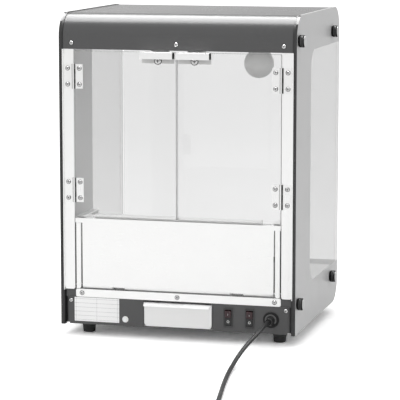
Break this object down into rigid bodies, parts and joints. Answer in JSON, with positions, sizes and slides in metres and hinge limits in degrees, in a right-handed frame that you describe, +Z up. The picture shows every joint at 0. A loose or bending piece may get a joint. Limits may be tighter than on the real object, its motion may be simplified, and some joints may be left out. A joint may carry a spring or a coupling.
{
  "type": "countertop chip warmer",
  "caption": "Glass-sided countertop warming cabinet with hinged glass doors, tilting serving flap, crumb drawer, overhead lamp, rocker switches and a mains cord.",
  "frame": {"origin": "on the bench, under the middle of the cabinet's outline (the free cord left out)", "axes": "+X to the operator's right, -Y towards the operator, +Y towards the customer, +Z up"},
  "size_m": [0.4823, 1.1042, 0.612],
  "materials": {
    "dark_sheet": "satin",
    "side_glass": "printed clear glass",
    "pane_glass": "clear",
    "stainless": "brushed",
    "bright_steel": "polished",
    "drawer_steel": "satin",
    "zinc_steel": "zinc plated",
    "element_steel": "heat darkened",
    "black_plastic": "matte",
    "knob_plastic": "satin",
    "rocker_plastic": "gloss",
    "white_plastic": "gloss",
    "plate_metal": "satin",
    "bulb_glass": "coated",
    "rubber": "matte",
    "cord_rubber": "matte"
  },
  "bodies": {
    "cabinet": {"side_glass_left": "side_glass", "side_glass_right": "side_glass", "side_frames": "dark_sheet", "hood_cover": "dark_sheet", "ceiling_panel": "zinc_steel", "door_posts": "stainless", "customer_window": "pane_glass", "glazing_bars": "dark_sheet", "customer_apron": "dark_sheet", "rear_rail": "zinc_steel", "base_pan": "zinc_steel", "front_rail": "dark_sheet", "sill_rail": "stainless", "base_cover": "dark_sheet", "cheek_plates": "stainless", "stop_bar": "stainless", "cross_rods": "bright_steel", "flap_brackets": "bright_steel", "warming_deck": "stainless", "catch_magnets": "zinc_steel", "post_hinges": "bright_steel", "drawer_runners": "drawer_steel", "switch_housings": "black_plastic", "cable_gland": "black_plastic", "hole_plug": "white_plastic", "rating_plate": "plate_metal", "rubber_feet": "rubber", "pane_caps": "bright_steel", "lock_nuts": "zinc_steel", "cabinet_screws": "bright_steel", "lamp_bulb": "bulb_glass", "lamp_holder": "white_plastic", "inner_brackets": "zinc_steel", "wire_cover": "zinc_steel", "heating_element": "element_steel", "thermostat": "element_steel", "terminal_block": "white_plastic", "cord_lead": "cord_rubber", "cord_coil": "cord_rubber", "cord_tie": "black_plastic", "mains_plug": "black_plastic"},
    "door_left": {"door_pane_left": "pane_glass", "door_hinge_leaves_left": "bright_steel", "door_pull_left": "bright_steel", "door_fixings_left": "bright_steel"},
    "door_right": {"door_pane_right": "pane_glass", "door_hinge_leaves_right": "bright_steel", "door_pull_right": "bright_steel", "door_fixings_right": "bright_steel"},
    "flap": {"chip_flap": "stainless"},
    "drawer": {"drawer_front": "drawer_steel", "drawer_tray": "drawer_steel"},
    "rocker_light": {"rocker_light": "rocker_plastic"},
    "rocker_heat": {"rocker_heat": "rocker_plastic"},
    "knob_left_lower_rear": {"knob_left_lower_rear": "knob_plastic"},
    "knob_left_upper_rear": {"knob_left_upper_rear": "knob_plastic"},
    "knob_right_lower_front": {"knob_right_lower_front": "knob_plastic"},
    "knob_right_lower_rear": {"knob_right_lower_rear": "knob_plastic"},
    "knob_right_upper_front": {"knob_right_upper_front": "knob_plastic"},
    "knob_right_upper_rear": {"knob_right_upper_rear": "knob_plastic"}
  },
  "joints": [
    {"name": "door_left_swing", "type": "hinge", "parent": "cabinet", "child": "door_left", "pos_m": [-0.199, -0.18505, 0.38], "axis": [0, 0, -1], "range_deg": [0, 150]},
    {"name": "door_right_swing", "type": "hinge", "parent": "cabinet", "child": "door_right", "pos_m": [0.199, -0.18505, 0.38], "axis": [0, 0, 1], "range_deg": [0, 150]},
    {"name": "flap_tilt", "type": "hinge", "parent": "cabinet", "child": "flap", "pos_m": [0, -0.174, 0.099], "axis": [1, 0, 0], "range_deg": [0, 90]},
    {"name": "drawer_slide", "type": "slide", "parent": "cabinet", "child": "drawer", "axis": [0, -1, 0], "range_m": [0, 0.25]},
    {"name": "rocker_light_rock", "type": "hinge", "parent": "cabinet", "child": "rocker_light", "pos_m": [0.099, -0.1798, 0.05], "axis": [-1, 0, 0], "range_deg": [0, 16]},
    {"name": "rocker_heat_rock", "type": "hinge", "parent": "cabinet", "child": "rocker_heat", "pos_m": [0.14, -0.1798, 0.05], "axis": [-1, 0, 0], "range_deg": [0, 16]},
    {"name": "knob_left_lower_rear_turn", "type": "hinge", "parent": "cabinet", "child": "knob_left_lower_rear", "pos_m": [-0.228, 0.132, 0.08], "axis": [-1, 0, 0], "continuous": true},
    {"name": "knob_left_upper_rear_turn", "type": "hinge", "parent": "cabinet", "child": "knob_left_upper_rear", "pos_m": [-0.228, 0.132, 0.566], "axis": [-1, 0, 0], "continuous": true},
    {"name": "knob_right_lower_front_turn", "type": "hinge", "parent": "cabinet", "child": "knob_right_lower_front", "pos_m": [0.228, -0.169, 0.08], "axis": [1, 0, 0], "continuous": true},
    {"name": "knob_right_lower_rear_turn", "type": "hinge", "parent": "cabinet", "child": "knob_right_lower_rear", "pos_m": [0.228, 0.132, 0.08], "axis": [1, 0, 0], "continuous": true},
    {"name": "knob_right_upper_front_turn", "type": "hinge", "parent": "cabinet", "child": "knob_right_upper_front", "pos_m": [0.228, -0.169, 0.566], "axis": [1, 0, 0], "continuous": true},
    {"name": "knob_right_upper_rear_turn", "type": "hinge", "parent": "cabinet", "child": "knob_right_upper_rear", "pos_m": [0.228, 0.132, 0.566], "axis": [1, 0, 0], "continuous": true}
  ]
}
